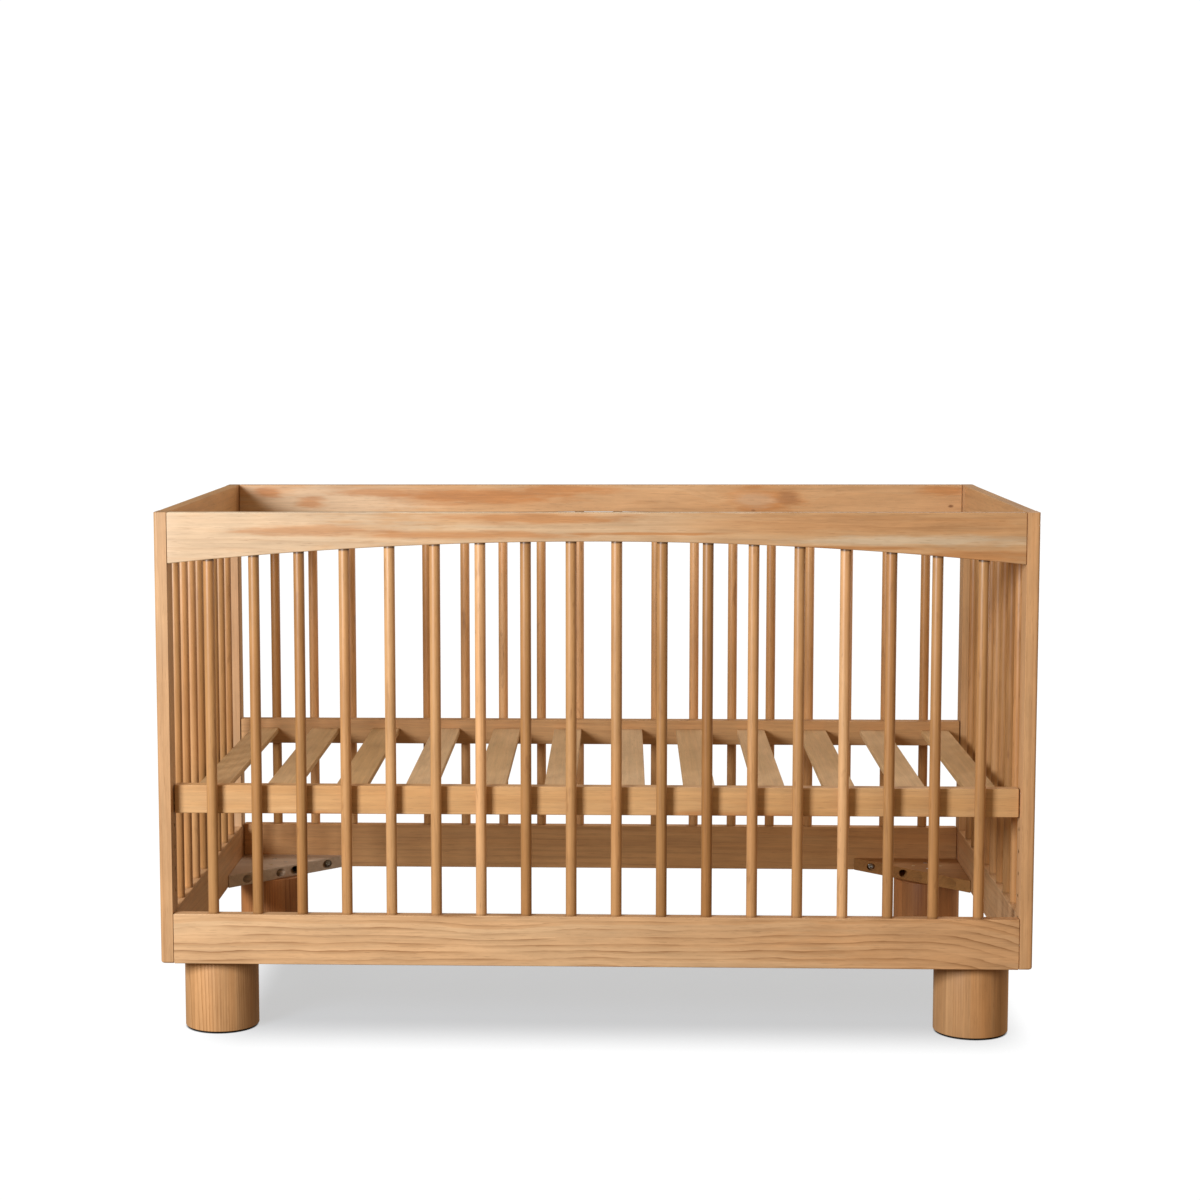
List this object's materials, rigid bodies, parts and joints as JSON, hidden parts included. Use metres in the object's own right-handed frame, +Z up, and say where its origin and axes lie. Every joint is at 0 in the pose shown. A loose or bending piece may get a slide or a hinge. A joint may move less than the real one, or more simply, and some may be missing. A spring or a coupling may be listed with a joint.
{
  "type": "baby crib",
  "caption": "Rectangular pine baby crib with round spindles on all sides, arched long top rails, a height-adjustable slatted mattress base and thick round feet.",
  "frame": {"origin": "on the floor, under the middle of the crib", "axes": "+X along the length, to the right seen from the front; +Y from the front panel to the back panel; +Z up"},
  "size_m": [1.3726, 0.75, 0.834],
  "materials": {
    "pine_board": "clear satin lacquer over light pine",
    "pine_spindle": "clear satin lacquer over turned light pine",
    "pine_plate": "planed pine, greyer than the panels",
    "pine_foot": "clear satin lacquer over glued pine staves",
    "pine_base_rail": "clear satin lacquer over light pine",
    "pine_slat": "sanded pine with no gloss",
    "felt_glide": "dark felt",
    "zinc_steel": "zinc-plated"
  },
  "bodies": {
    "crib_frame": {"front_top_rail": "pine_board", "back_top_rail": "pine_board", "front_bottom_rail": "pine_board", "left_top_rail": "pine_board", "right_top_rail": "pine_board", "back_spindle_rail": "pine_board", "left_spindle_rail": "pine_board", "right_spindle_rail": "pine_board", "front_spindle_01": "pine_spindle", "front_spindle_02": "pine_spindle", "front_spindle_03": "pine_spindle", "front_spindle_04": "pine_spindle", "front_spindle_05": "pine_spindle", "front_spindle_06": "pine_spindle", "front_spindle_07": "pine_spindle", "front_spindle_08": "pine_spindle", "front_spindle_09": "pine_spindle", "front_spindle_10": "pine_spindle", "front_spindle_11": "pine_spindle", "front_spindle_12": "pine_spindle", "front_spindle_13": "pine_spindle", "front_spindle_14": "pine_spindle", "front_spindle_15": "pine_spindle", "front_spindle_16": "pine_spindle", "front_spindle_17": "pine_spindle", "front_spindle_18": "pine_spindle", "stile_front_left": "pine_board", "stile_front_right": "pine_board", "stile_back_left": "pine_board", "stile_back_right": "pine_board", "corner_plate_front_left": "pine_plate", "corner_plate_front_right": "pine_plate", "corner_plate_back_left": "pine_plate", "corner_plate_back_right": "pine_plate", "foot_front_left": "pine_foot", "foot_front_right": "pine_foot", "foot_back_left": "pine_foot", "foot_back_right": "pine_foot", "glide_front_left": "felt_glide", "glide_front_right": "felt_glide", "glide_back_left": "felt_glide", "glide_back_right": "felt_glide"},
    "mattress_base": {"base_rail_front": "pine_base_rail", "base_rail_back": "pine_base_rail", "base_slat_01": "pine_slat", "base_slat_02": "pine_slat", "base_slat_03": "pine_slat", "base_slat_04": "pine_slat", "base_slat_05": "pine_slat", "base_slat_06": "pine_slat", "base_slat_07": "pine_slat", "base_slat_08": "pine_slat", "base_slat_09": "pine_slat", "base_slat_10": "pine_slat", "base_slat_11": "pine_slat", "base_slat_12": "pine_slat", "base_bolt_front_left": "zinc_steel", "base_bolt_front_right": "zinc_steel", "base_bolt_back_left": "zinc_steel", "base_bolt_back_right": "zinc_steel"}
  },
  "joints": [
    {"name": "base_height", "type": "slide", "parent": "crib_frame", "child": "mattress_base", "axis": [0, 0, 1], "range_m": [-0.21, 0]}
  ]
}
